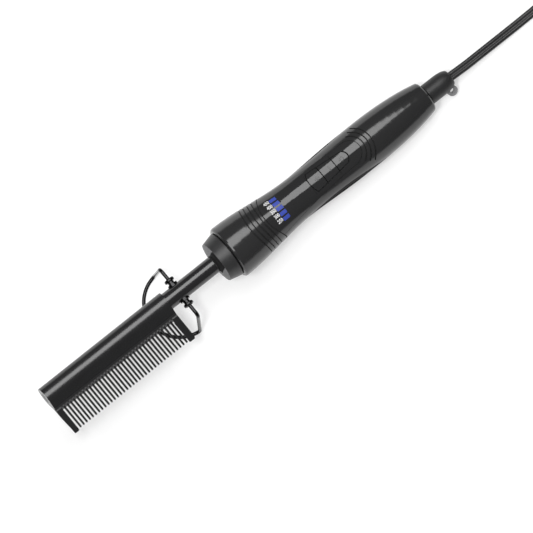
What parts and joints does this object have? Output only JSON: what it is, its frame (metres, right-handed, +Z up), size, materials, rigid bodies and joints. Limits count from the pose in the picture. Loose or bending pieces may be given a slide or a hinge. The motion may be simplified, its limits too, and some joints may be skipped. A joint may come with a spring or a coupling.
{
  "type": "hot comb",
  "caption": "Electric hot comb: toothed heated bar on a neck tube, round waisted handle with buttons, folding wire stand, swivel cord end and folded power cord.",
  "frame": {"origin": "centre of the box round the comb without its cord, on the table that it rests on", "axes": "+X along the table from the comb's tip to the cord end, +Y away from the teeth, +Z up from the table"},
  "size_m": [0.4872, 0.0736, 0.0509],
  "materials": {
    "comb_coating": "black satin heat-proof coating on metal",
    "heater_sheath": "drawn steel sheath",
    "contact_brass": "plain brass",
    "neck_coating": "black satin coating on steel tube",
    "bushing_nickel": "bright nickel plating",
    "stand_chrome": "chromed spring wire",
    "collar_grey": "matte dark grey moulding",
    "holder_nylon": "natural grey nylon",
    "handle_black": "glossy black moulding",
    "panel_black": "high-gloss black inlay",
    "window_blue": "lit blue window",
    "button_black": "high-gloss black key",
    "board_green": "solder-masked laminate",
    "switch_black": "moulded switch",
    "led_resin": "clear resin",
    "component_grey": "moulded component",
    "lead_silicone": "silicone-insulated lead",
    "sleeve_rubber": "soft matte sleeve",
    "eye_grey": "light grey moulding",
    "screw_steel": "zinc-plated screw",
    "cord_rubber": "black flexible sheath",
    "tie_fabric": "woven hook-and-loop band",
    "plug_rubber": "moulded plug"
  },
  "bodies": {
    "handle": {"comb_head": "comb_coating", "comb_teeth": "comb_coating", "tip_plug": "comb_coating", "heater_rod": "heater_sheath", "temperature_sensor": "contact_brass", "neck_tube": "neck_coating", "stand_bushing_left": "bushing_nickel", "stand_bushing_right": "bushing_nickel", "nose_collar": "collar_grey", "neck_holder": "holder_nylon", "upper_shell": "handle_black", "lower_shell": "handle_black", "control_panel": "panel_black", "led_windows": "window_blue", "circuit_board": "board_green", "tact_switches": "switch_black", "indicator_leds": "led_resin", "power_components": "component_grey", "heater_leads": "lead_silicone", "mains_leads": "lead_silicone", "swivel_terminals": "contact_brass", "swivel_bearing": "holder_nylon", "case_screws": "screw_steel", "power_cord": "cord_rubber", "cord_hank": "cord_rubber", "cord_tie": "tie_fabric", "cord_tail": "cord_rubber", "plug_body": "plug_rubber", "plug_blades": "contact_brass"},
    "stand": {"wire_stand": "stand_chrome"},
    "plus_key": {"plus_button": "button_black"},
    "minus_key": {"minus_button": "button_black"},
    "power_key": {"power_button": "button_black"},
    "swivel": {"cord_swivel": "sleeve_rubber", "hang_loop": "eye_grey", "contact_pin": "contact_brass"}
  },
  "joints": [
    {"name": "stand_fold", "type": "hinge", "parent": "handle", "child": "stand", "pos_m": [-0.05085, 0.00239, 0.03243], "axis": [0, 1, 0], "range_deg": [-90, 49]},
    {"name": "plus_press", "type": "slide", "parent": "handle", "child": "plus_key", "axis": [-0.1219, 0, -0.9925], "range_m": [0, 0.0005], "stiffness_N_per_m": 2000},
    {"name": "minus_press", "type": "slide", "parent": "handle", "child": "minus_key", "axis": [-0.1219, 0, -0.9925], "range_m": [0, 0.0005], "stiffness_N_per_m": 2000},
    {"name": "power_press", "type": "slide", "parent": "handle", "child": "power_key", "axis": [-0.1219, 0, -0.9925], "range_m": [0, 0.0005], "stiffness_N_per_m": 2000},
    {"name": "cord_turn", "type": "hinge", "parent": "handle", "child": "swivel", "pos_m": [0.12324, 0.00239, 0.01106], "axis": [0.9925, 0, -0.1219], "continuous": true}
  ]
}
